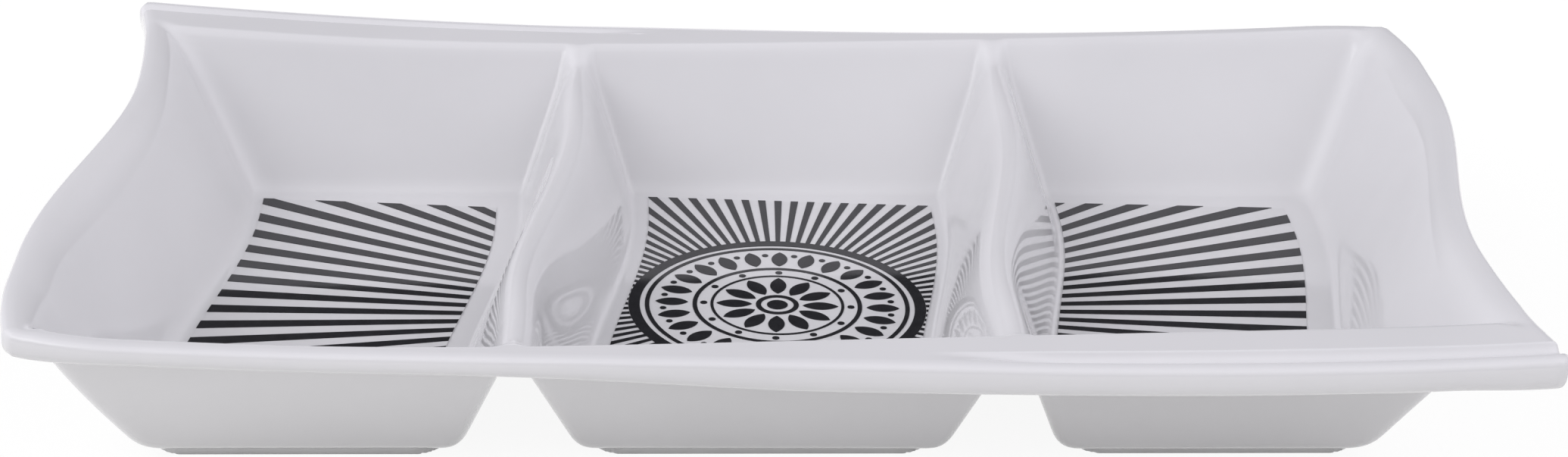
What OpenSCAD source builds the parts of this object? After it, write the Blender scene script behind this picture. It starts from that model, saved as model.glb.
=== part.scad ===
// Divided serving bowl: one wavy melamine moulding with three wells, and a printed foil fused to
// the floor of each well. Length runs along X, the back is +Y, the bowl stands on Z = 0.
// The plan is the same after half a turn about Z, so one set of curves serves both ends.

/* [Bowl] */
// Length over the lips
bowl_l = 394; // [368:1:420]
// Depth from the front lip to the back lip
bowl_d = 239.4; // [220:0.2:260]
// Height of the rim above the table at the middle of a long side
rim_h = 45.9; // [40:0.1:50]
// Extra height of the rim at the two ends
end_rise = 4.9; // [0:0.1:7]
// Thickness of the moulded wall
wall_t = 2.8; // [2.4:0.1:3.4]
// Thickness of the floors
floor_t = 3.5; // [2.8:0.1:4.2]

/* [Wells] */
// Run of an end wall, from the floor out to the edge of the rim
end_run = 26.3; // [22:0.1:31]
// Run of a long wall and its land, from the floor out to the edge of the rim
long_run = 41; // [37:0.5:46]
// Distance between the crests of the two dividers
crest_gap = 125.6; // [112:0.2:138]
// Width of a divider between the two floors beside it
divider_foot = 32; // [28:0.5:36]
// Drop from the rim to the crest of a divider at its ends
crest_drop = 4; // [3:0.5:8]
// Extra dip of the crest at the middle of a divider
crest_dip = 2; // [0:0.5:5]
// Half of the flat on the crest, before its edges are rounded
crest_half = 3; // [2:0.5:4.5]

/* [Wave] */
// Sideways swing of the well walls between the middle and the back
wave_floor = 7; // [0:0.5:9]
// The same swing at the rim
wave_rim = 7.8; // [2:0.2:11]
// Distance from the middle at which the swing is full
wave_reach = 58.5; // [50:0.5:68]
// How far each pointed corner is drawn out past the end of the bowl
tip_flare = 7.8; // [3:0.2:11]
// How much further out a long side stands at its wide half
side_bulge = 10.9; // [5:0.1:14]

/* [Rim] */
// Width of the flat land on the wide half of a long side
land_max = 18.3; // [14:0.1:21]
// Width of the land where it has tapered away
land_min = 2.4; // [2:0.1:4]
// Width of the land along an end
end_land = 5; // [3.5:0.5:6.5]
// How far the rounded lip stands out from the edge of the land
lip_out = 3.4; // [2.6:0.1:4.2]
// Height of the lip where the land is narrow
lip_h_min = 5.9; // [5:0.1:7]
// Height of the lip where the land is wide
lip_h_max = 8.9; // [8:0.1:10]
// Height of the step from the groove behind the lip up to the wide land
step_h = 2.2; // [1:0.1:3]

/* [Feet] */
// Height of the moulded foot ring under each well
foot_h = 2.6; // [1.8:0.1:3.6]
// Width of the foot ring
foot_w = 3; // [2.4:0.1:4.5]

/* [Print] */
// Thickness of a printed foil
foil_t = 0.25; // [0.2:0.05:0.4]
// Thickness of the black print on a foil
ink_t = 0.15; // [0.1:0.05:0.25]
// Number of rays in a full turn
ray_count = 90; // [60:2:90]
// Black share of a ray and the gap beside it
ray_share = 0.45; // [0.3:0.05:0.55]
// Slant of the front and back edges of the left foil, in degrees
left_lean = -5; // [-6:0.1:0]
// The same for the centre foil
centre_lean = -4; // [-4.5:0.1:0]
// The same for the right foil
right_lean = -2.7; // [-6:0.1:0]
// Number of petals in the outer ring of the rosette
petal_count = 24; // [12:2:28]
// How far to the left the side foils are laid
lay_shift = 2.8; // [0:0.1:3]

/* [Hidden] */
// Rounding of the two blunt corners of the rim: 0 is a square corner, 1 a quarter ellipse
round_corner_share = 0.5;
// A low power rounds the whole side, a high power only the corner
round_power = 1.58;
// A high power keeps the flare of a tip, or the rise of the rim, close to the end
tip_power = 4.1;
rise_power = 2.75;
// Where along a long side the land widens and the side stands out, as shares of the half length
widen_from_share = 0.65;
widen_span_share = 1.42;
bulge_from_share = 0.51;
bulge_span_share = 1.88;
// Places across the wide land, from the lip inward: top of the lip, groove, crest of the step, mouth
step_shares = [0, 0.25, 0.4, 1];
// Heights at those places over the rim line, as shares of the step
step_rise_shares = [-0.08, -1, 0, -0.27];
// The step runs out to the tip of the rim and fades along the end, in widths of the land
fade_from_share = 1.7;
fade_span_share = 0.6;

half_l = bowl_l / 2 - wave_rim - lip_out;
// A long side has already turned in by this share of its bulge where it ends in a tip
tip_turn_share = 0.11;
half_d = bowl_d / 2 - lip_out + side_bulge * tip_turn_share;
crest_u = crest_gap / 2;
centre_floor = crest_u - divider_foot / 2;
side_in = crest_u + divider_foot / 2;
side_out = half_l - end_run;
floor_half = half_d - long_run;
floor_z = foot_h + floor_t;
// Rounding of the inside edges, from the wall thickness
fillet_k = wall_t * 1.4;
corner_k = wall_t * 2.4;
mouth_k = wall_t * 1.2;
crest_k = wall_t * 3;
// Rounding of the outside edges under the wells, and of the upright outside corners
low_k = wall_t * 1.8;
upright_k = wall_t * 5;
// Sweep of a divider up into the long walls, and the height below its crest at which it fades
sweep_k = wall_t * 5;
sweep_h = wall_t * 3.5;
// How far the fillets reach in over a floor from its long walls, its end walls and the dividers
long_reach = fillet_k * (long_run - land_min - side_bulge) / (rim_h - floor_z);
end_reach = fillet_k * (end_run - end_land + tip_flare) / (rim_h - floor_z);
flank_reach = fillet_k * (divider_foot / 2 - crest_half) / (rim_h - crest_drop - crest_dip - floor_z);
// Inner face of the lip on the underside, and the turn from it to the land
lip_in = lip_out * 0.9;
lip_turn = lip_out * 0.4;

function clamp01(t) = min(1, max(0, t));
function ease(t) = let (c = clamp01(t)) c * c * (3 - 2 * c);
function soft_max(a, b, k) = max(a, b) + pow(max(k - abs(a - b), 0), 2) / (4 * k);
function soft_min(a, b, k) = -soft_max(-a, -b, k);
function side(t) = t < 0 ? -1 : 1;
function mix(a, b, t) = a + (b - a) * t;

// Swing of the plan: every line that runs from front to back follows this S-curve
function wave(v) = sin(90 * max(-1, min(1, v / wave_reach)));

// Edge of the land at the right-hand end, drawn out at its front corner
function end_line(v) = half_l + tip_flare * pow(clamp01(-v / half_d), tip_power);

// Edge of the land along the back, which stands further out on its left half
function back_line(u) =
    half_d - side_bulge * (1 - ease((bulge_from_share - u / half_l) / bulge_span_share));

// Width of the land along the back: wide on the left, tapered away on the right
function land_w(u) =
    mix(land_min, land_max, ease((widen_from_share - u / half_l) / widen_span_share));

// Share of the step that is there at a width of the land
function step_on(w) = ease((w - land_min * 1.25) / (land_max * 0.43));

function rim_z(u) = rim_h + end_rise * pow(abs(u) / half_l, rise_power);

// Height of the wide land over the rim line, as a share of the step, from the lip at 0 to the mouth at 1
function step_z(t) =
    let (i = t < step_shares[1] ? 0 : t < step_shares[2] ? 1 : 2,
         f = (t - step_shares[i]) / (step_shares[i + 1] - step_shares[i]))
    mix(step_rise_shares[i], step_rise_shares[i + 1], ease(f));

// Station of a column: up to 1 on the floors, 1 to 2 on the end wall, 2 to 3 on the end land
function u_of(c, v) =
    let (a = abs(c), edge = end_line(v * side(c)), mouth = edge - end_land)
    a <= 1 ? c * side_out
           : side(c) * (a <= 2 ? mix(side_out, mouth, a - 1) : mix(mouth, edge, a - 2));

// Station of a row: up to 1 on the floors, 1 to 2 on the wall, 2 to 3 on the land
function v_of(r, u) =
    let (a = abs(r), edge = back_line(u * side(r)), mouth = edge - land_w(u * side(r)))
    a <= 1 ? r * floor_half
           : side(r) * (a <= 2 ? mix(floor_half, mouth, a - 1) : mix(mouth, edge, a - 2));

// Plan coordinates before the corners are rounded
function flat_uv(c, r) =
    let (v = v_of(r, u_of(c, 0)))
    [u_of(c, v), v];

// Plan coordinates with rounded corners and the wave
function plan_xy(p) =
    let (u = p[0], v = p[1],
         out_u = end_line(v * side(u)) - side_out,
         out_v = back_line(u * side(v)) - floor_half,
         a = max(0, (abs(u) - side_out) / out_u),
         b = max(0, (abs(v) - floor_half) / out_v),
         // The two corners that are drawn out to a tip stay square
         k = u * v < 0 ? 0 : round_corner_share / 2,
         x = a > 0 ? side(u) * (side_out + out_u * a * sqrt(1 - k * pow(b, round_power))) : u,
         y = b > 0 ? side(v) * (floor_half + out_v * b * sqrt(1 - k * pow(a, round_power))) : v,
         swing = mix(wave_floor, wave_rim, clamp01(max(a, b))))
    [x + swing * wave(y), y];

// Height of the moulding at a plan point: drop 0 gives the upper face, 1 the underside
function skin_z(p, drop) =
    let (u = p[0], v = p[1], s = u * side(v),
         w = land_w(s),
         to_back = back_line(s) - abs(v),
         to_end = end_line(v * side(u)) - abs(u),
         // The stepped land and its lip, which fade out along the ends
         on = step_on(w) * ease((fade_from_share - to_back / w) / fade_span_share),
         rz = rim_z(u),
         land_top = rz + step_h * on * step_z(to_back / w),
         lip_h = mix(lip_h_min, lip_h_max, on),
         turned = ease((min(to_back, to_end) - lip_in) / lip_turn),
         land_low = mix(rz - lip_h, rz - step_h * on - wall_t, on * turned),
         land = drop == 0 ? land_top : land_low,
         // The walls, moved in by the wall thickness for the underside
         floor_level = floor_z - drop * floor_t,
         round_k = mix(fillet_k, low_k, drop),
         mouth_z = rz + step_h * step_on(w) * step_rise_shares[3],
         rise_b = (mouth_z - floor_z) / (back_line(s) - w - floor_half),
         rise_a = (rz - floor_z) / (end_line(v * side(u)) - end_land - side_out),
         skew_b = drop * wall_t * sqrt(1 + rise_b * rise_b),
         skew_a = drop * wall_t * sqrt(1 + rise_a * rise_a),
         wall_b = floor_z + rise_b * (abs(v) - floor_half) - skew_b,
         wall_a = floor_z + rise_a * (abs(u) - side_out) - skew_a,
         walls = soft_max(wall_a, wall_b, mix(corner_k, upright_k, drop)),
         // The dividers, hollow underneath, which sweep up into the long walls
         crest = rim_z(crest_u) - crest_drop - crest_dip * (1 - ease(abs(v) / floor_half)),
         away = abs(abs(u) - crest_u),
         rise_d = (crest - floor_z) / (divider_foot / 2 - crest_half),
         skew_d = drop * wall_t * sqrt(1 + rise_d * rise_d),
         flank = crest - rise_d * (away - crest_half) - skew_d,
         top = crest - drop * wall_t,
         ridge = soft_min(top, flank, crest_k),
         near_top = ease(1 - (top - ridge) / sweep_h),
         join_k = drop == 0 ? mix(fillet_k, sweep_k, near_top) : upright_k,
         inside = soft_max(floor_level, soft_max(walls, ridge, join_k), round_k))
    soft_min(land, inside, mouth_k);

// Stations of the columns and rows from the middle outwards, closer together on the curved parts
function ladder(a, b, shares) = [for (f = shares) mix(a, b, f)];
c_floor = centre_floor / side_out;
c_crest = crest_u / side_out;
c_side = side_in / side_out;
c_fillet = flank_reach / side_out;
floor_cols = [0, c_floor / 2, c_floor - c_fillet, c_floor];
side_cols = [c_side, c_side + c_fillet, (c_side + 1) / 2, 1 - end_reach / side_out, 1];
floor_rows = [0, 0.2, 0.4, 0.6, 0.79, 1 - long_reach / floor_half, 1];
function down(shares) = [for (i = [len(shares) - 2:-1:0]) shares[i]];
wall_shares = [0.1, 0.25, 0.5, 0.75, 0.9, 1];
flank_shares = [0.09, 0.225, 0.45, 0.68, 0.81, 0.9, 1];
half_cols = concat(
    floor_cols,
    ladder(c_floor, c_crest, flank_shares),
    ladder(c_side, c_crest, down(flank_shares)),
    side_cols,
    ladder(1, 2, wall_shares),
    ladder(2, 3, [0.5, 1]));
half_rows = concat(
    floor_rows,
    ladder(1, 2, wall_shares),
    ladder(2, 3, [0.12, 0.36, 0.6, 0.68, 0.75, 0.87, 1]));
low_flank_shares = [0.06, 0.13, 0.22, 0.34, 0.6, 0.85, 1];
low_wall_shares = [0.06, 0.14, 0.24, 0.36, 0.7, 1];
low_cols = concat(
    floor_cols,
    ladder(c_floor, c_crest, low_flank_shares),
    ladder(c_side, c_crest, down(low_flank_shares)),
    side_cols,
    ladder(1, 2, low_wall_shares),
    ladder(2, 3, [0.5, 1]));
low_rows = concat(
    floor_rows,
    ladder(1, 2, low_wall_shares),
    ladder(2, 3, [0.3, 0.6, 0.68, 0.755, 0.795, 0.835, 1]));
// Side of its own well on which a column lies
function of_well(c) = abs(c) < c_crest ? c : c - side(c) * (c_side + 1) / 2;
function mirrored(half) = concat([for (i = [len(half) - 1:-1:1]) -half[i]], half);

module bowl_body() {
    color([0.83, 0.83, 0.86])
    union() {
        shell();
        foot_ring(-centre_floor, centre_floor);
        foot_ring(side_in, side_out);
        foot_ring(-side_out, -side_in);
    }
}

// The moulding as one skin: upper face, underside and the rounded lip that joins their edges
module shell() {
    cols = mirrored(half_cols);
    rows = mirrored(half_rows);
    under_cols = mirrored(low_cols);
    under_rows = mirrored(low_rows);
    nc = len(cols);
    nr = len(rows);
    size = nc * nr;
    top = [for (r = rows) for (c = cols)
        let (p = flat_uv(c, r), q = plan_xy(p)) [q[0], q[1], skin_z(p, 0)]];
    low = [for (r = under_rows) for (c = under_cols)
        let (p = flat_uv(c, r), q = plan_xy(p)) [q[0], q[1], skin_z(p, 1)]];
    // Stations round the edge of either face, in the same order
    edge = concat(
        [for (i = [0:nc - 2]) i],
        [for (j = [0:nr - 2]) j * nc + nc - 1],
        [for (i = [nc - 1:-1:1]) (nr - 1) * nc + i],
        [for (j = [nr - 1:-1:1]) j * nc]);
    n = len(edge);
    bands = [45, 90, 135];
    lip = [for (a = bands) for (i = [0:n - 1])
        let (p = top[edge[i]], q = low[edge[i]],
             along = top[edge[(i + 1) % n]] - top[edge[(i + n - 1) % n]],
             out = [along[1], -along[0]] / norm([along[0], along[1]]),
             m = mix(p, q, (1 - cos(a)) / 2))
        [m[0] + lip_out * sin(a) * out[0], m[1] + lip_out * sin(a) * out[1], m[2]]];
    // Each patch is split along the line that runs out of its well, so the corners stay crisp
    quads_top = [for (j = [0:nr - 2]) for (i = [0:nc - 2])
        let (k = j * nc + i,
             outward = of_well((cols[i] + cols[i + 1]) / 2) * (rows[j] + rows[j + 1]) > 0)
        each outward ? [[k, k + nc, k + nc + 1], [k, k + nc + 1, k + 1]]
                     : [[k, k + nc, k + 1], [k + nc, k + nc + 1, k + 1]]];
    quads_low = [for (t = quads_top) [t[2] + size, t[1] + size, t[0] + size]];
    bead = [for (b = [0:len(bands) - 1]) [for (i = [0:n - 1]) 2 * size + b * n + i]];
    rings = concat([edge], bead, [[for (e = edge) e + size]]);
    quads_lip = [for (b = [0:len(bands)]) for (i = [0:n - 1])
        let (k = (i + 1) % n, p = rings[b], q = rings[b + 1])
        each [[p[i], p[k], q[k]], [p[i], q[k], q[i]]]];
    polyhedron(concat(top, low, lip), concat(quads_top, quads_low, quads_lip), convexity = 8);
}

// A quarter turn of a rounded corner about a point
function bend(c, radius, from) =
    [for (t = [0:15:90]) c + radius * [cos(from + t), sin(from + t)]];

// Plan of a well floor between two stations, brought in by a margin, with rounded corners
function well_plan(u0, u1, margin, radius) =
    let (a = u0 + margin + radius,
         b = u1 - margin - radius,
         v = floor_half - margin - radius,
         bends = [bend([b, v], radius, 0), bend([a, v], radius, 90),
                  bend([a, -v], radius, 180), bend([b, -v], radius, 270)],
         steps = [0.1:0.1:0.9],
         left = [for (f = steps) mix(bends[1][6], bends[2][0], f)],
         right = [for (f = steps) mix(bends[3][6], bends[0][0], f)],
         flat = concat(bends[0], bends[1], left, bends[2], bends[3], right))
    [for (p = flat) [p[0] + wave_floor * wave(p[1]), p[1]]];

module foot_ring(u0, u1) {
    margin = foot_w * 0.7;
    linear_extrude(height = foot_h + floor_t / 2)
    difference() {
        polygon(well_plan(u0, u1, margin, foot_w * 3));
        polygon(well_plan(u0, u1, margin + foot_w, foot_w * 2));
    }
}

// Bare floor round the foils: beside the centre foil, inside and outside a side foil
foil_gap_centre = 4.6;
foil_gap_in = 5;
foil_gap_out = 6.5;
// Bare floor behind the centre foil and behind a side foil
centre_gap_back = 6;
side_gap_back = 8;
// Bare foil outside the rosette, and the gap between the rosette and the rays
ring_gap = 0.5;
ink_gap = 0.08;
// Largest rosette for the depth of its foil
ring_room_share = 0.62;
// Where the rays of each print start from, and the turn of its first ray in degrees
left_from = [-15, -7.9];
centre_from = [0.8, 0.5];
right_from = [10.3, -1.9];
left_turn = 1.7;
centre_turn = 3;
right_turn = 2.6;
ray_inner = 26;

centre_half = centre_floor - foil_gap_centre;
side_half = (side_out - foil_gap_out - side_in - foil_gap_in) / 2;
side_mid = side_in + foil_gap_in + side_half;
centre_v = floor_half - centre_gap_back;
side_v = floor_half - side_gap_back;
ring_r = min(centre_half - ring_gap, centre_v * ring_room_share);

// Outline of a foil: its sides follow the wave, its front and back edges have a slant
function foil_plan(u, half, v, lean) =
    let (slant = tan(lean) * half,
         steps = [for (i = [-10:10]) v * i / 10],
         right = [for (t = steps) [u + half + wave_floor * wave(t), t + slant]],
         left = [for (t = steps) [u - half - wave_floor * wave(t), -t - slant]])
    concat(right, left);

function left_plan() = foil_plan(-side_mid - lay_shift, side_half, side_v, left_lean);
function centre_plan() = foil_plan(centre_from[0], centre_half, centre_v, centre_lean);
function right_plan() = foil_plan(side_mid - lay_shift, side_half, side_v, right_lean);

module foil(plan) {
    translate([0, 0, floor_z])
    linear_extrude(height = foil_t) polygon(plan);
}

// Rays of one print: wedges about a centre, from an inner radius out, cut to the outline of the foil
module rays(plan, centre, inner, turn, from_angle, to_angle) {
    pitch = 360 / ray_count;
    wide = pitch * ray_share / 2;
    reach = half_l;
    first = ceil((from_angle - turn) / pitch);
    last = floor((to_angle - turn) / pitch);
    translate([0, 0, floor_z + foil_t])
    linear_extrude(height = ink_t)
    intersection() {
        polygon(plan);
        union() for (i = [first:last]) {
            a = i * pitch + turn;
            polygon([for (p = [[inner, -wide], [reach, -wide], [reach, wide], [inner, wide]])
                centre + p[0] * [cos(a + p[1]), sin(a + p[1])]]);
        }
    }
}

module left_foil() {
    color([0.86, 0.86, 0.88]) foil(left_plan());
}

module centre_foil() {
    color([0.86, 0.86, 0.88]) foil(centre_plan());
}

module right_foil() {
    color([0.86, 0.86, 0.88]) foil(right_plan());
}

module left_rays() {
    color([0.12, 0.12, 0.14])
    rays(left_plan(), left_from, ray_inner, left_turn, 114, 246);
}

module centre_rays() {
    color([0.12, 0.12, 0.14])
    rays(centre_plan(), centre_from, ring_r + ink_gap, centre_turn, -90, 269);
}

module right_rays() {
    color([0.12, 0.12, 0.14])
    rays(right_plan(), right_from, ray_inner, right_turn, -66, 66);
}

module ring(outer, inner) {
    difference() {
        circle(r = outer, $fn = 120);
        circle(r = inner, $fn = 120);
    }
}

// A petal that points outwards, made of two arcs
module petal(inner, outer, wide) {
    long = (outer - inner) / 2;
    r = (long * long + wide * wide) / (2 * wide);
    translate([(inner + outer) / 2, 0])
    intersection() {
        translate([0, r - wide]) circle(r = r, $fn = 90);
        translate([0, wide - r]) circle(r = r, $fn = 90);
    }
}

// Plain rosette inside the rays: rings, a wreath of petals, dots and a flower
module centre_rosette() {
    color([0.12, 0.12, 0.14])
    translate([centre_from[0], centre_from[1], floor_z + foil_t])
    linear_extrude(height = ink_t)
    rotate(centre_lean) {
        ring(ring_r, ring_r * 0.924);
        ring(ring_r * 0.89, ring_r * 0.86);
        for (i = [0:petal_count - 1]) rotate(i * 360 / petal_count) {
            petal(ring_r * 0.6, ring_r * 0.82, ring_r * 0.055);
            rotate(180 / petal_count)
            translate([ring_r * 0.77, 0]) circle(r = ring_r * 0.022, $fn = 24);
        }
        ring(ring_r * 0.57, ring_r * 0.54);
        ring(ring_r * 0.45, ring_r * 0.43);
        for (i = [0:petal_count / 2 - 1]) rotate(i * 720 / petal_count) {
            petal(ring_r * 0.17, ring_r * 0.41, ring_r * 0.055);
            translate([ring_r * 0.495, 0]) circle(r = ring_r * 0.024, $fn = 24);
        }
        ring(ring_r * 0.145, ring_r * 0.11);
        circle(r = ring_r * 0.07, $fn = 48);
    }
}

bowl_body();
left_foil();
centre_foil();
right_foil();
left_rays();
centre_rays();
right_rays();
centre_rosette();
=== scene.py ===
# %% [markdown]
# # A divided serving bowl in melamine
#
# The object is a long, wavy serving bowl: one glossy white moulding with three wells, two
# dividers that are hollow underneath, and a printed foil fused to the floor of each well. The
# solids come from a CAD model. This lesson loads them as a fixed frame and builds the looks
# round them: a fine skin for the moulding, finishes for the skin, the foils and the black print,
# and then light and a camera.

# %% Load the fixed frame
import math

import bpy
import numpy as np
from mathutils import Matrix, Vector


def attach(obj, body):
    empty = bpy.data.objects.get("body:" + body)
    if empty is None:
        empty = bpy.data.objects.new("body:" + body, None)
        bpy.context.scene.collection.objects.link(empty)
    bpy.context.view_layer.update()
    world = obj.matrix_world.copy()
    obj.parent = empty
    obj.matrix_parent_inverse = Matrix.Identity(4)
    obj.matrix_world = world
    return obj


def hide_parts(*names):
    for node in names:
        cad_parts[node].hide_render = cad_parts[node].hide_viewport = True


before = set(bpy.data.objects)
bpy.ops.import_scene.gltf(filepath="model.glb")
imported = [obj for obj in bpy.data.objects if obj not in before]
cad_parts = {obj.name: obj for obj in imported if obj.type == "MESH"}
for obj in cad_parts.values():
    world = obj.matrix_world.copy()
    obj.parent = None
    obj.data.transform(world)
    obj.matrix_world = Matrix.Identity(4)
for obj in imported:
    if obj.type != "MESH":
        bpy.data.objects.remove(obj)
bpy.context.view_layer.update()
scene = bpy.context.scene
scene.view_settings.view_transform = "Standard"
MM = 0.001
print("nodes:", sorted(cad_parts))

# %% [markdown]
# ## The camera
#
# The photograph was taken from the front, a little above the bowl. Its lens, height and turn
# were worked out from the outline of the rim, so the camera is written as an aim point, a
# distance and three angles. Building the matrix from those angles, and not from a "track to"
# rule, keeps the small roll of the photograph.

# %% Place the camera
PHOTO_W = 2071
FOCAL_PX = 4219.9
AIM = Vector((2.0, -0.05, 30.2)) * MM
REACH = 884.94 * MM
TILT = math.radians(24.834)
SWING = math.radians(-3.645)
ROLL = math.radians(1.692)

ahead = Vector((-math.sin(SWING), math.cos(SWING), 0))
right = Vector((math.cos(SWING), math.sin(SWING), 0))
look = ahead * math.cos(TILT) - Vector((0, 0, math.sin(TILT)))
above = ahead * math.sin(TILT) + Vector((0, 0, math.cos(TILT)))
cam_right = right * math.cos(ROLL) + above * math.sin(ROLL)
cam_up = above * math.cos(ROLL) - right * math.sin(ROLL)

cam_data = bpy.data.cameras.new("photo_camera")
cam_data.sensor_fit = "HORIZONTAL"
cam_data.sensor_width = 36.0
cam_data.lens = FOCAL_PX / PHOTO_W * cam_data.sensor_width
cam_data.clip_start = 0.01
camera = bpy.data.objects.new("photo_camera", cam_data)
scene.collection.objects.link(camera)
turn = Matrix((cam_right, cam_up, -look)).transposed().to_4x4()
camera.matrix_world = Matrix.Translation(AIM - look * REACH) @ turn
scene.camera = camera
print("camera at", tuple(round(c, 3) for c in camera.location), "lens", round(cam_data.lens, 2))

# %% [markdown]
# ## The curves of the plan
#
# Every line of the bowl that runs from front to back follows one S-curve, and the plan is the
# same after half a turn. So the moulding could be drawn as dozens of outlines, but it is simpler
# to lay a plain grid of stations over a straight bowl and then bend it: `u` runs along the bowl,
# `v` runs from front to back, and a few small functions say where the edge is, how wide its flat
# land is and how far each line swings to the side. All lengths here are in millimetres.

# %% Helpers that blend


def ease(t):
    t = np.clip(t, 0, 1)
    return t * t * (3 - 2 * t)


def fade(t, start, end):
    """0 at `start`, 1 at `end`, and a gentle change between them."""
    return ease((t - start) / (end - start))


def mix(a, b, t):
    return a + (b - a) * t


def side(t):
    return np.where(t < 0, -1.0, 1.0)


print("a fade from 1 to 2 is at", float(fade(1.25, 1, 2)), "after a quarter of the way")

# %% Sizes of the plan
bowl_l, bowl_d = 394.0, 239.4
wave_floor, wave_rim, wave_reach = 7.0, 7.8, 58.5
tip_flare, tip_power = 7.8, 4.1
side_bulge, bulge_inset = 10.9, 0.11
land_max, land_min, end_land = 18.3, 2.4, 5.0
lip_out = 3.4
end_run, long_run = 26.3, 41.0
crest_gap, divider_foot = 125.6, 32.0

half_l = bowl_l / 2 - wave_rim - lip_out
half_d = bowl_d / 2 - lip_out + side_bulge * bulge_inset
crest_u = crest_gap / 2
centre_floor = crest_u - divider_foot / 2
side_in = crest_u + divider_foot / 2
side_out = half_l - end_run
floor_half = half_d - long_run
print("floors:", round(2 * centre_floor, 1), "and", round(side_out - side_in, 1), "mm long")

# %% Lines of the plan
bulge_start, bulge_end = 0.51, -1.37
taper_start, taper_end = 0.65, -0.77


def wave(v):
    return np.sin(np.pi / 2 * np.clip(v / wave_reach, -1, 1))


def end_line(v):
    return half_l + tip_flare * np.clip(-v / half_d, 0, 1) ** tip_power


def back_line(u):
    return half_d - side_bulge * (1 - fade(u / half_l, bulge_start, bulge_end))


def land_width(u):
    return mix(land_min, land_max, fade(u / half_l, taper_start, taper_end))


print("land:", [round(float(land_width(u)), 1) for u in (-half_l, 0, half_l)], "mm wide along the back")

# %% [markdown]
# ## Heights of the moulding
#
# A melamine bowl is pressed between two steel moulds, so it has an even wall and no sharp inside
# edges. Each wall is a slope, each divider a ridge, and a soft maximum joins them: where two
# slopes come within a few millimetres of each other it rounds the corner, as a mould maker's
# fillet does. The same slopes, moved by the wall thickness, give the underside. The CAD solid has
# small even rounds along the mouth. Here the finish of the press is added over the same form, by
# a millimetre or two: the ends roll over softly, the corners of the wells are as round inside as
# outside, the step of the wide land has a crisp crest where the lip parts from it, and the lip
# hangs a little lower at the corners.

# %% Helpers that round


def soft_max(a, b, k):
    return np.maximum(a, b) + np.maximum(k - np.abs(a - b), 0) ** 2 / (4 * k)


def soft_min(a, b, k):
    return -soft_max(-a, -b, k)


def slow_min(a, b, k):
    """A soft minimum whose curve starts and ends gently."""
    share = np.maximum(k - np.abs(a - b), 0) / k
    return np.minimum(a, b) - share**3 * k / 6


print("a round of 4 mm fills a corner by", float(soft_max(0, 0, 4)), "mm")

# %% Height of the rim
rim_h, end_rise, rise_power = 45.9, 4.9, 2.75


def rim_z(u):
    return rim_h + end_rise * (np.abs(u) / half_l) ** rise_power


print("rim:", rim_h, "mm at the middle,", round(float(rim_z(half_l)), 1), "mm at the ends")

# %% [markdown]
# ### Foot rings
#
# Each well stands on a thin ring, which is part of the pressing. A swept bar joined on with a
# boolean would leave a seam. So the ring is a band round a rounded rectangle, and the underside
# is lowered by the height of the foot wherever a station lies on that band.

# %% Foot rings
foot_h, foot_w = 2.6, 3.0
ring_inset, ring_bend, ring_round = foot_w * 1.2, foot_w * 2.5, 0.35
well_spans = ((-side_out, -side_in), (-centre_floor, centre_floor), (side_in, side_out))


def foot_ring(u, v):
    """1 on a foot ring, 0 off it, with rounded edges."""
    share = np.zeros_like(u)
    for low, high in well_spans:
        du = np.abs(u - (low + high) / 2) - ((high - low) / 2 - ring_inset - ring_bend)
        dv = np.abs(v) - (floor_half - ring_inset - ring_bend)
        outside = np.hypot(np.maximum(du, 0), np.maximum(dv, 0))
        gap = outside + np.minimum(np.maximum(du, dv), 0) - ring_bend
        ring = fade(np.abs(gap), foot_w / 2 + ring_round, foot_w / 2 - ring_round)
        share = np.maximum(share, ring)
    return share


print("foot rings:", len(well_spans), "of", foot_w, "by", foot_h, "mm")

# %% [markdown]
# ### Land, step and lip
#
# The flat land of the rim is wide at one end of each long side and almost nothing at the other.
# Where it is wide it steps down to a lip, and the lip hangs free with a hollow behind it. A
# profile swept along the edge could draw that, but the step fades out along the side, so the
# section would change at every station. A height over the width of the land needs only a fade.

# %% Upper face of the land, with its step
wall_t = 2.8
step_h = 2.2
lip_top, groove_at, crest_at, crest_up = -0.2, 0.2, 0.33, 0.22
split_from, split_run = 38.0, 40.0
edge_k = wall_t * 0.15


def step_profile(t, rise):
    """Height across the wide land: lip at 0, groove, crisp crest of the step, mouth at 1."""
    fall = mix(lip_top, -1.0, ease(t / groove_at))
    riser = (np.maximum(t - groove_at, 0) / (crest_at - groove_at)) ** 2 - 1.0
    slope = rise * np.maximum(1 - t, 0) / (1 - crest_at)
    return soft_min(step_h * np.maximum(fall, riser), slope, edge_k)


def upper_land(u, v):
    s = u * side(v)
    across_land = (back_line(s) - np.abs(v)) / land_width(s)
    split = fade(-s, split_from, split_from + split_run)
    rise = crest_up * fade(np.abs(u), half_l, half_l - split_run)
    return rim_z(u) + split * step_profile(across_land, rise)


print("the step parts from the lip", split_from, "to", split_from + split_run, "mm from the middle")

# %% Underside of the land, with the lip
lip_h_min, lip_h_max = 5.9, 8.9
lip_in, lip_turn = lip_out * 0.9, lip_out * 0.4
wide_start, wide_end = land_min * 1.25, land_min * 1.25 + land_max * 0.43
step_start, step_end = 1.7, 1.1
side_start, side_end = 0.75, 0.95
blunt_drop, blunt_start, blunt_end = 2.0, 0.84, 1.0
tip_drop, tip_start, tip_end = 0.8, 0.9, 1.02


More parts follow.
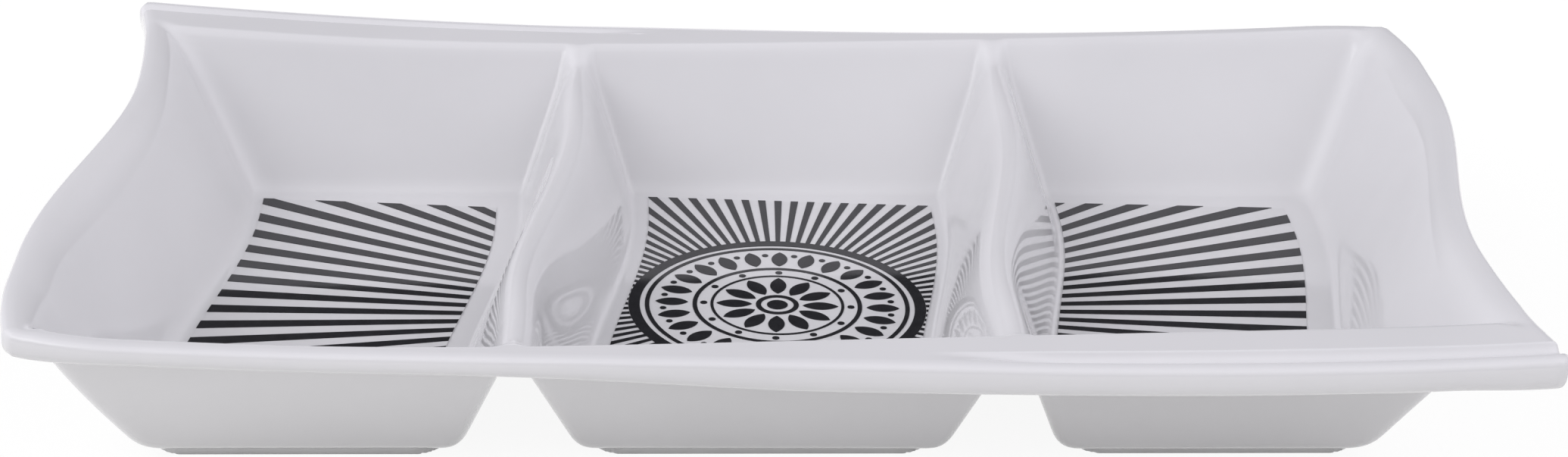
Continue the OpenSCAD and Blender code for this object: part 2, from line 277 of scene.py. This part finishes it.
def lower_land(u, v):
    s = u * side(v)
    width = land_width(s)
    to_back = back_line(s) - np.abs(v)
    to_end = end_line(v * side(u)) - np.abs(u)
    step = fade(width, wide_start, wide_end) * fade(to_back / width, step_start, step_end)
    at_blunt = blunt_drop * fade(s / half_l, blunt_start, blunt_end)
    at_tip = tip_drop * fade(-s / half_l, tip_start, tip_end)
    on_side = fade(np.abs(v) / half_d, side_start, side_end)
    lip_h = mix(lip_h_min, lip_h_max, step) + on_side * (at_blunt + at_tip)
    turned = fade(np.minimum(to_back, to_end), lip_in, lip_in + lip_turn)
    return mix(rim_z(u) - lip_h, rim_z(u) - step_h * step - wall_t, step * turned)


print("lip:", lip_h_min, "to", lip_h_max, "mm high,", blunt_drop, "mm more at the blunt corners")

# %% [markdown]
# ### Walls and dividers
#
# The walls lean outward, so that the pressing comes out of its mould. A divider is a ridge with
# two such flanks, hollow underneath, and its crest dips at the middle. Each wall could be a
# surface of its own, but then the corners would have to be stitched. As heights, the walls, the
# dividers and the floors blend into one another.

# %% Walls of the wells
floor_t = 3.5
floor_z = foot_h + floor_t
corner_k, upright_k, corner_run = wall_t * 2.4, wall_t * 5, 15.0


def slope_up(u, run, out, drop):
    """A wall that climbs from the floor to the rim, moved square to itself by `drop`."""
    rise = (rim_z(u) - floor_z) / run
    return floor_z + rise * out - drop * np.sqrt(1 + rise**2)


def long_wall(u, v, drop):
    s = u * side(v)
    run = back_line(s) - land_width(s) - floor_half
    return slope_up(u, run, np.abs(v) - floor_half, drop)


def end_wall(u, v, drop):
    run = end_line(v * side(u)) - end_land - side_out
    return slope_up(u, run, np.abs(u) - side_out, drop)


def corner_round(u, v, walls):
    """Full at the blunt corners. At the tips it is smaller near the mouth."""
    deep = fade(rim_z(u) - walls, 0, corner_run)
    return np.where(u * v > 0, upright_k, mix(corner_k, upright_k, deep))


print("floors:", floor_z, "mm above the table")

# %% Dividers
crest_drop, crest_dip, crest_half = 4.0, 2.0, 3.0
crest_k, sweep_h = wall_t * 3, wall_t * 3.5


def divider(u, v, drop):
    """Height of the nearest divider, and 1 near its crest but 0 lower down."""
    crest = rim_z(crest_u) - crest_drop - crest_dip * (1 - ease(np.abs(v) / floor_half))
    rise = (crest - floor_z) / (divider_foot / 2 - crest_half)
    out = np.abs(np.abs(u) - crest_u) - crest_half
    flank = crest - rise * out - drop * np.sqrt(1 + rise**2)
    ridge = soft_min(crest - drop, flank, crest_k)
    return ridge, ease(1 - (crest - drop - ridge) / sweep_h)


crest_mid = divider(np.array([crest_u]), np.array([0.0]), 0.0)[0]
print("crest of a divider:", round(float(crest_mid[0]), 2), "mm")

# %% The two faces
fillet_k, sweep_k, low_k = wall_t * 1.4, wall_t * 5, wall_t * 1.8
mouth_k, long_mouth_k, end_roll_k = wall_t * 1.2, wall_t * 0.72, wall_t * 5
END_BLEND = 6.0


def upper_face(u, v):
    land = upper_land(u, v)
    wall_a, wall_b = end_wall(u, v, 0.0), long_wall(u, v, 0.0)
    walls = soft_max(wall_a, wall_b, corner_round(u, v, np.maximum(wall_a, wall_b)))
    ridge, near_top = divider(u, v, 0.0)
    inside = soft_max(walls, ridge, mix(fillet_k, sweep_k, near_top))
    inside = soft_max(floor_z, inside, fillet_k)
    at_end = fade(wall_a - wall_b, -END_BLEND, END_BLEND)
    long_mouth = soft_min(land, inside, long_mouth_k)
    return mix(long_mouth, slow_min(land, inside, end_roll_k), at_end)


def underside(u, v):
    walls = soft_max(end_wall(u, v, wall_t), long_wall(u, v, wall_t), upright_k)
    inside = soft_max(walls, divider(u, v, wall_t)[0], upright_k)
    inside = soft_max(foot_h, inside, low_k)
    return soft_min(lower_land(u, v), inside, mouth_k) - foot_h * foot_ring(u, v)


middle = np.array([0.0])
floor_here = float((upper_face(middle, middle) - underside(middle, middle))[0])
print("floor at the middle:", round(floor_here, 2), "mm thick")

# %% [markdown]
# ## The stations of the skin
#
# A grid with even squares would waste faces on the flat floors and starve the fillets. So the
# stations are listed by zone: far apart on the floors, about a millimetre apart where the skin
# turns, and closest over the foot rings and the crest of the step. A station of 1 is the edge of
# a floor, 2 is the mouth and 3 is the outer edge. Only one half is listed, because the other half
# is its mirror image before the bend.

# %% Lay out the stations
ring_reach = foot_w * 3.9
CREST_START, CREST_END, GROOVE_END = 2.62, 2.72, 2.84


def zone(start, end, count):
    return np.linspace(start, end, count, endpoint=False)


def floor_col(u):
    return u / side_out


half_cols = np.concatenate([
    zone(0, floor_col(centre_floor - ring_reach), 8),
    zone(floor_col(centre_floor - ring_reach), floor_col(centre_floor), 18),
    zone(floor_col(centre_floor), floor_col(crest_u), 17),
    zone(floor_col(crest_u), floor_col(side_in), 17),
    zone(floor_col(side_in), floor_col(side_in + ring_reach), 18),
    zone(floor_col(side_in + ring_reach), floor_col(side_out - ring_reach), 12),
    zone(floor_col(side_out - ring_reach), 1, 18),
    zone(1, 2, 20),
    zone(2, 3, 8),
    [3.0],
])
half_rows = np.concatenate([
    zone(0, 1 - ring_reach / floor_half, 18),
    zone(1 - ring_reach / floor_half, 1, 18),
    zone(1, 2, 20),
    zone(2, CREST_START, 12),
    zone(CREST_START, CREST_END, 10),
    zone(CREST_END, GROOVE_END, 8),
    zone(GROOVE_END, 3, 8),
    [3.0],
])
cols = np.concatenate([-half_cols[:0:-1], half_cols])
rows = np.concatenate([-half_rows[:0:-1], half_rows])
print("grid:", len(cols), "by", len(rows), "stations on each face")

# %% Spread the stations over the straight bowl


def spread(station, floor_edge, mouth, edge):
    a = np.abs(station)
    out = np.where(a <= 2, mix(floor_edge, mouth, a - 1), mix(mouth, edge, a - 2))
    return np.where(a <= 1, station * floor_edge, side(station) * out)


def along(c, v):
    edge = end_line(v * side(c))
    return spread(c, side_out, edge - end_land, edge)


def across(r, u):
    edge = back_line(u * side(r))
    return spread(r, floor_half, edge - land_width(u * side(r)), edge)


C, R = np.meshgrid(cols, rows)
V = across(R, along(C, 0 * C))
U = along(C, V)
print("straight bowl:", round(float(np.ptp(U)), 1), "by", round(float(np.ptp(V)), 1), "mm")

# %% Bend the stations into the plan
CORNER_CUT, CORNER_POWER = 0.25, 1.58


def bend_plan(u, v):
    """Rounds the two blunt corners of the rim, then swings every line sideways."""
    out_u = end_line(v * side(u)) - side_out
    out_v = back_line(u * side(v)) - floor_half
    a = np.maximum(0, (np.abs(u) - side_out) / out_u)
    b = np.maximum(0, (np.abs(v) - floor_half) / out_v)
    cut = np.where(u * v < 0, 0.0, CORNER_CUT)
    far_x = side_out + out_u * a * np.sqrt(1 - cut * b**CORNER_POWER)
    far_y = floor_half + out_v * b * np.sqrt(1 - cut * a**CORNER_POWER)
    x = np.where(a > 0, side(u) * far_x, u)
    y = np.where(b > 0, side(v) * far_y, v)
    swing = mix(wave_floor, wave_rim, np.clip(np.maximum(a, b), 0, 1))
    return x + swing * wave(y), y


X, Y = bend_plan(U, V)
print("plan over the land:", round(float(np.ptp(X)), 1), "by", round(float(np.ptp(Y)), 1), "mm")

# %% [markdown]
# ## The moulding
#
# The two faces and the rounded lip between their edges make one closed skin. A subdivision
# surface over a coarse cage could give the same form, but its edges would drift away from the
# CAD solid. Points that come straight from the functions stay on it, so the skin can stand for
# the CAD node and still meet the foils on the floors.

# %% Points of the two faces
top = np.dstack([X, Y, upper_face(U, V)]).reshape(-1, 3)
low = np.dstack([X, Y, underside(U, V)]).reshape(-1, 3)
n_rows, n_cols = C.shape
ids = np.arange(n_rows * n_cols).reshape(n_rows, n_cols)
rim_ids = np.concatenate([ids[0, :-1], ids[:-1, -1], ids[-1, :0:-1], ids[:0:-1, 0]])
print("faces of", len(top), "points,", len(rim_ids), "of them round the rim")

# %% Round the lip between them
LIP_BANDS = 14
FULL_TOP, FULL_LOW = 3.5, 2.0

tangent = np.roll(top[rim_ids], -1, axis=0) - np.roll(top[rim_ids], 1, axis=0)
outward = np.column_stack([tangent[:, 1], -tangent[:, 0], 0 * tangent[:, 0]])
outward /= np.linalg.norm(outward, axis=1)[:, None]
bead = []
for i in range(1, LIP_BANDS):
    angle = math.pi * i / LIP_BANDS
    band = mix(top[rim_ids], low[rim_ids], (1 - math.cos(angle)) / 2)
    fullness = FULL_TOP if angle < math.pi / 2 else FULL_LOW
    swell = (1 - abs(math.cos(angle)) ** fullness) ** (1 / fullness)
    bead.append(band + lip_out * swell * outward)
print("lip:", len(bead), "bands between the faces")

# %% Join the faces and the lip
points = np.vstack([top, low] + bead) * MM
square = [ids[:-1, :-1], ids[:-1, 1:], ids[1:, 1:], ids[1:, :-1]]
face = np.stack(square, axis=-1).reshape(-1, 4)
band_ids = np.arange(len(rim_ids)) + 2 * len(top)
loops = [rim_ids] + [band_ids + i * len(rim_ids) for i in range(LIP_BANDS - 1)]
loops.append(rim_ids + len(top))
strips = []
for p, q in zip(loops[:-1], loops[1:]):
    strips.append(np.column_stack([p, q, np.roll(q, -1), np.roll(p, -1)]))
faces = np.vstack([face, face[:, ::-1] + len(top)] + strips)
print("moulding:", len(points), "points,", len(faces), "faces")

# %% Put the moulding on the frame
skin_mesh = bpy.data.meshes.new("moulding")
skin_mesh.from_pydata(points.tolist(), [], faces.tolist())
skin_mesh.polygons.foreach_set("use_smooth", [True] * len(faces))
skin_mesh.update()
moulding = bpy.data.objects.new("moulding", skin_mesh)
scene.collection.objects.link(moulding)
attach(moulding, "root")
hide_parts("bowl_body")
print("the moulding stands for bowl_body")

# %% [markdown]
# ## Finishes
#
# Polished melamine is an opaque, hard resin: an even body colour under a clear gloss, with a
# faint drift in tone, a slight unevenness of polish and a trace of orange peel. The foil is
# paper under a thin clear glaze, so its gloss is a little weaker and its tone is fibrous. The
# print is black ink under that gloss. A picture could hold the tones, but noise in the object's
# own space needs no unwrapping and stays fine at any distance.

# %% Helpers for the finishes


def noise(tree, scale, detail, rough=0.5):
    coord = tree.nodes.new("ShaderNodeTexCoord")
    node = tree.nodes.new("ShaderNodeTexNoise")
    node.inputs["Scale"].default_value = scale
    node.inputs["Detail"].default_value = detail
    node.inputs["Roughness"].default_value = rough
    tree.links.new(coord.outputs["Object"], node.inputs["Vector"])
    return node.outputs["Fac"]


def ramp(tree, source, spread_at, tones):
    node = tree.nodes.new("ShaderNodeValToRGB")
    for stop, place, tone in zip(node.color_ramp.elements, spread_at, tones):
        stop.position = place
        stop.color = (*tone, 1)
    tree.links.new(source, node.inputs["Fac"])
    return node.outputs["Color"]


def grey(value):
    return (value, value, value)


POLISH_SCALE, PEEL_SCALE, PEEL_DEPTH = 55.0, 420.0, 0.00004


def uneven_polish(tree, shader, smooth, dull, peel_strength):
    """Roughness that drifts and a very slight orange peel."""
    drift = noise(tree, POLISH_SCALE, 3.0)
    gloss = ramp(tree, drift, (0.3, 0.7), (grey(smooth), grey(dull)))
    tree.links.new(gloss, shader.inputs["Roughness"])
    bump = tree.nodes.new("ShaderNodeBump")
    bump.inputs["Strength"].default_value = peel_strength
    bump.inputs["Distance"].default_value = PEEL_DEPTH
    tree.links.new(noise(tree, PEEL_SCALE, 1.0), bump.inputs["Height"])
    tree.links.new(bump.outputs["Normal"], shader.inputs["Normal"])


def make_finish(name, grain, spread_at, tones, ior, polish):
    """A body tone that drifts with its grain, under a clear gloss."""
    mat = bpy.data.materials.new(name)
    mat.use_nodes = True
    tree = mat.node_tree
    shader = tree.nodes["Principled BSDF"]
    tone = ramp(tree, noise(tree, *grain), spread_at, tones)
    tree.links.new(tone, shader.inputs["Base Color"])
    shader.inputs["IOR"].default_value = ior
    uneven_polish(tree, shader, *polish)
    return mat


print("orange peel:", PEEL_DEPTH / MM, "mm deep")

# %% Make the finishes
MELAMINE_IOR, GLAZE_IOR = 1.55, 1.45
GLAZE_POLISH = (0.05, 0.08, 0.08)

melamine = make_finish(
    "melamine",
    grain=(14.0, 4.0),
    spread_at=(0.35, 0.65),
    tones=((0.655, 0.652, 0.662), (0.682, 0.678, 0.688)),
    ior=MELAMINE_IOR,
    polish=(0.05, 0.09, 0.10),
)
foil = make_finish(
    "foil",
    grain=(260.0, 5.0, 0.65),
    spread_at=(0.3, 0.7),
    tones=((0.612, 0.609, 0.618), (0.640, 0.637, 0.646)),
    ior=GLAZE_IOR,
    polish=GLAZE_POLISH,
)
print_black = make_finish(
    "print_black",
    grain=(300.0, 4.0, 0.6),
    spread_at=(0.3, 0.7),
    tones=((0.010, 0.010, 0.012), (0.018, 0.018, 0.021)),
    ior=GLAZE_IOR,
    polish=GLAZE_POLISH,
)
print("finishes:", [m.name for m in (melamine, foil, print_black)])

# %% Lay the finishes on
skin_mesh.materials.append(melamine)
for name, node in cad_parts.items():
    if name == "bowl_body":
        continue
    finish = foil if name.endswith("foil") else print_black
    node.data.materials.clear()
    node.data.materials.append(finish)
    print(name, "has", finish.name)

# %% [markdown]
# ## The floor
#
# The bowl was photographed on a white ground. A floor that only glows would lose the shadow, and
# a plain white one would turn grey in this light. So the floor is mostly a glow where it is seen
# or mirrored, and the rest is white paper, which keeps a soft shadow and lights the bowl from
# below.

# %% Lay the floor
FLOOR_HALF = 6.0
floor_mesh = bpy.data.meshes.new("floor")
floor_corners = [
    (-FLOOR_HALF, -FLOOR_HALF, 0),
    (FLOOR_HALF, -FLOOR_HALF, 0),
    (FLOOR_HALF, FLOOR_HALF, 0),
    (-FLOOR_HALF, FLOOR_HALF, 0),
]
floor_mesh.from_pydata(floor_corners, [], [(0, 1, 2, 3)])
floor = bpy.data.objects.new("floor", floor_mesh)
scene.collection.objects.link(floor)
print("floor:", 2 * FLOOR_HALF, "m wide")

# %% Make the floor white where it is seen
GROUND_TONE = (0.86, 0.86, 0.83, 1)
GLOW_STRENGTH, GLOW_SHARE = 1.02, 0.9


def value_math(tree, kind, first, second):
    """A math node on a socket and a second socket or number."""
    node = tree.nodes.new("ShaderNodeMath")
    node.operation = kind
    tree.links.new(first, node.inputs[0])
    if isinstance(second, float):
        node.inputs[1].default_value = second
    else:
        tree.links.new(second, node.inputs[1])
    return node.outputs[0]


ground = bpy.data.materials.new("white_ground")
ground.use_nodes = True
tree = ground.node_tree
tree.nodes.clear()
paper = tree.nodes.new("ShaderNodeBsdfDiffuse")
paper.inputs["Color"].default_value = GROUND_TONE
glow = tree.nodes.new("ShaderNodeEmission")
glow.inputs["Strength"].default_value = GLOW_STRENGTH
ray = tree.nodes.new("ShaderNodeLightPath").outputs
seen = value_math(tree, "MAXIMUM", ray["Is Camera Ray"], ray["Is Glossy Ray"])
seen = value_math(tree, "MAXIMUM", seen, ray["Is Transmission Ray"])
blend = tree.nodes.new("ShaderNodeMixShader")
tree.links.new(value_math(tree, "MULTIPLY", seen, GLOW_SHARE), blend.inputs["Fac"])
tree.links.new(paper.outputs[0], blend.inputs[1])
tree.links.new(glow.outputs[0], blend.inputs[2])
surface = tree.nodes.new("ShaderNodeOutputMaterial")
tree.links.new(blend.outputs[0], surface.inputs["Surface"])
floor_mesh.materials.append(ground)
print("ground:", GLOW_SHARE, "of it glows where it is seen")

# %% [markdown]
# ## The light
#
# The light of the photograph is soft and even. Lamps with edges would leave hard white bars in
# the gloss, so the light here is a tent: the world is the sum of a few broad lobes, each a power
# of the cosine to its own direction. It is bright over the front and the sides. Low at the back
# it has two small side lobes, which the rolled ends and the tops of the dividers mirror, and a
# narrow one just above the table, which lightens the edges of the rim. Higher up between them it
# stays dark, because the black print mirrors that part of the room. One large softbox at the
# front left adds a soft fall of light along the front.

# %% Raise the light tent
LOBES = {
    "left": ((-0.8, -0.1, 0.6), 4, 2.0),
    "right": ((0.8, -0.1, 0.6), 4, 1.85),
    "front_high": ((0.0, -0.7, 0.7), 6, 0.85),
    "back_high": ((0.0, 0.55, 0.83), 6, 0.07),
    "back_left": ((-0.65, 0.75, 0.2), 12, 0.78),
    "back_right": ((0.65, 0.75, 0.2), 12, 0.5),
    "back_low": ((0.0, 1.0, 0.05), 60, 0.9),
}
TENT_TINT = (1.011, 1.0, 1.053)

world = bpy.data.worlds.new("light_tent")
scene.world = world
world.use_nodes = True
tent = world.node_tree
room = tent.nodes["Background"]
facing = tent.nodes.new("ShaderNodeTexCoord")


def lobe(direction, power, strength):
    toward = tent.nodes.new("ShaderNodeVectorMath")
    toward.operation = "DOT_PRODUCT"
    tent.links.new(facing.outputs["Generated"], toward.inputs[0])
    toward.inputs[1].default_value = Vector(direction).normalized()
    lit = value_math(tent, "MAXIMUM", toward.outputs["Value"], 0.0)
    focused = value_math(tent, "POWER", lit, float(power))
    return value_math(tent, "MULTIPLY", focused, float(strength))


brightness = None
for direction, power, strength in LOBES.values():
    share = lobe(direction, power, strength)
    brightness = share if brightness is None else value_math(tent, "ADD", brightness, share)
room.inputs["Color"].default_value = (*TENT_TINT, 1)
tent.links.new(brightness, room.inputs["Strength"])
print("light tent:", list(LOBES))

# %% Hang a softbox at the front left
softbox_data = bpy.data.lights.new("front_left", "AREA")
softbox_data.shape = "RECTANGLE"
softbox_data.size, softbox_data.size_y = 1.0, 0.7
softbox_data.energy = 3.2
softbox = bpy.data.objects.new("front_left", softbox_data)
scene.collection.objects.link(softbox)
softbox.location = (-1.0, -0.8, 0.9)
softbox.rotation_euler = (-softbox.location).to_track_quat("-Z", "Y").to_euler()
print("softbox at", tuple(round(c, 2) for c in softbox.location))
